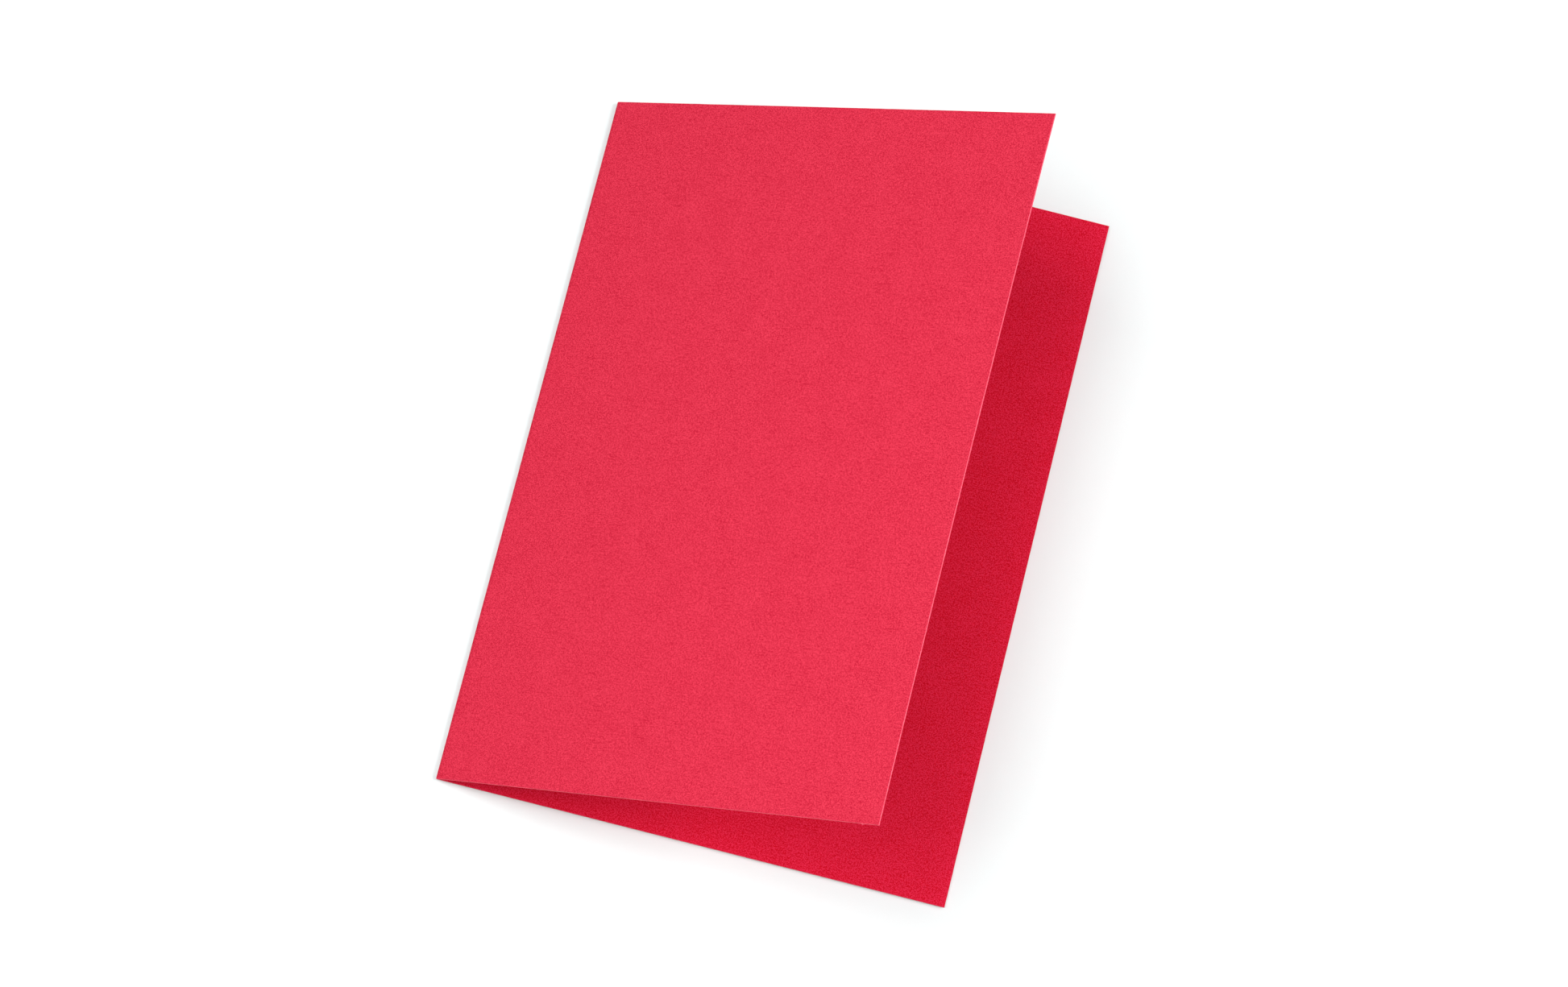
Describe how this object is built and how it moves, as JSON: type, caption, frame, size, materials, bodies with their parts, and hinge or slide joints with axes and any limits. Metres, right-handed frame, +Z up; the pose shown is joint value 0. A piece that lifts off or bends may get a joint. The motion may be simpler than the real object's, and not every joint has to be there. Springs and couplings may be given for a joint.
{
  "type": "folded card",
  "caption": "Blank half-fold card in dyed stock, lying on its rear leaf with the front leaf standing open on a springy scored fold.",
  "frame": {"origin": "under the middle of the rear leaf, on the surface that the card lies on", "axes": "+X from the fold to the free edges, +Y up along the fold, +Z up"},
  "size_m": [0.105, 0.148, 0.0593],
  "materials": {
    "card_stock": "matte, uncoated, fine felt grain"
  },
  "bodies": {
    "rear_leaf": {"rear_leaf": "card_stock", "fold_crease": "card_stock"},
    "front_leaf": {"front_leaf": "card_stock"}
  },
  "joints": [
    {"name": "fold_hinge", "type": "hinge", "parent": "rear_leaf", "child": "front_leaf", "pos_m": [-0.05205, 0, 0.00045], "axis": [0, -1, 0], "range_deg": [-33.4, 146], "stiffness_Nm_per_rad": 0.02, "springref_deg": 5.27, "deforming": ["fold_crease"]}
  ]
}
